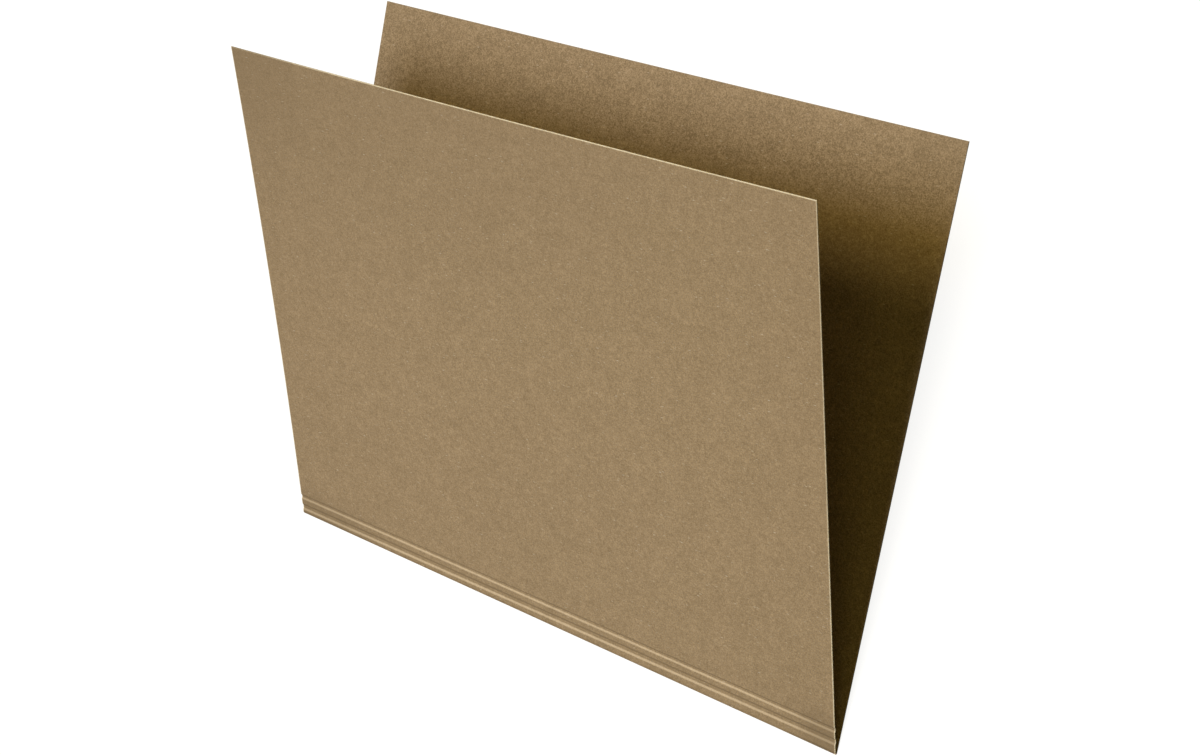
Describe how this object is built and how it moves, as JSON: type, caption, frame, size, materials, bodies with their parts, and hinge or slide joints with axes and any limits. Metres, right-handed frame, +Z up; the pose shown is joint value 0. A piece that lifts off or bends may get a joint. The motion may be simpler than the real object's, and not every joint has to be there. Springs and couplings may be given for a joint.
{
  "type": "card file folder",
  "caption": "Plain kraft card file folder, folded along its long side, with a taller back cover and pressed score lines beside the fold. It opens flat and holds loose sheets.",
  "frame": {"origin": "middle of the folder's box at its lowest level: the outer face of the back cover, which it lies on", "axes": "+X along the fold, +Y from the fold towards the free edges of the covers, +Z up out of the back cover"},
  "size_m": [0.32, 0.245, 0.0882],
  "materials": {
    "back_card": "matte",
    "front_card": "matte",
    "strip_card": "matte",
    "score_card": "matte",
    "fold_card": "matte"
  },
  "bodies": {
    "back": {"back_cover": "back_card", "fold_crease": "fold_card"},
    "lower_strip": {"lower_spine_strip": "strip_card", "lower_score": "score_card"},
    "upper_strip": {"upper_spine_strip": "strip_card", "upper_score": "score_card"},
    "front": {"front_cover": "front_card"}
  },
  "joints": [
    {"name": "fold_opening", "type": "hinge", "parent": "back", "child": "lower_strip", "pos_m": [0, -0.1219, 0.0006], "axis": [1, 0, 0], "range_deg": [-10.8, 158.2]},
    {"name": "lower_score_bend", "type": "hinge", "parent": "lower_strip", "child": "upper_strip", "pos_m": [0, -0.11795, 0.00258], "axis": [1, 0, 0], "range_deg": [-5.4, 0]},
    {"name": "upper_score_bend", "type": "hinge", "parent": "upper_strip", "child": "front", "pos_m": [0, -0.11275, 0.00466], "axis": [1, 0, 0], "range_deg": [-5.4, 0]}
  ]
}
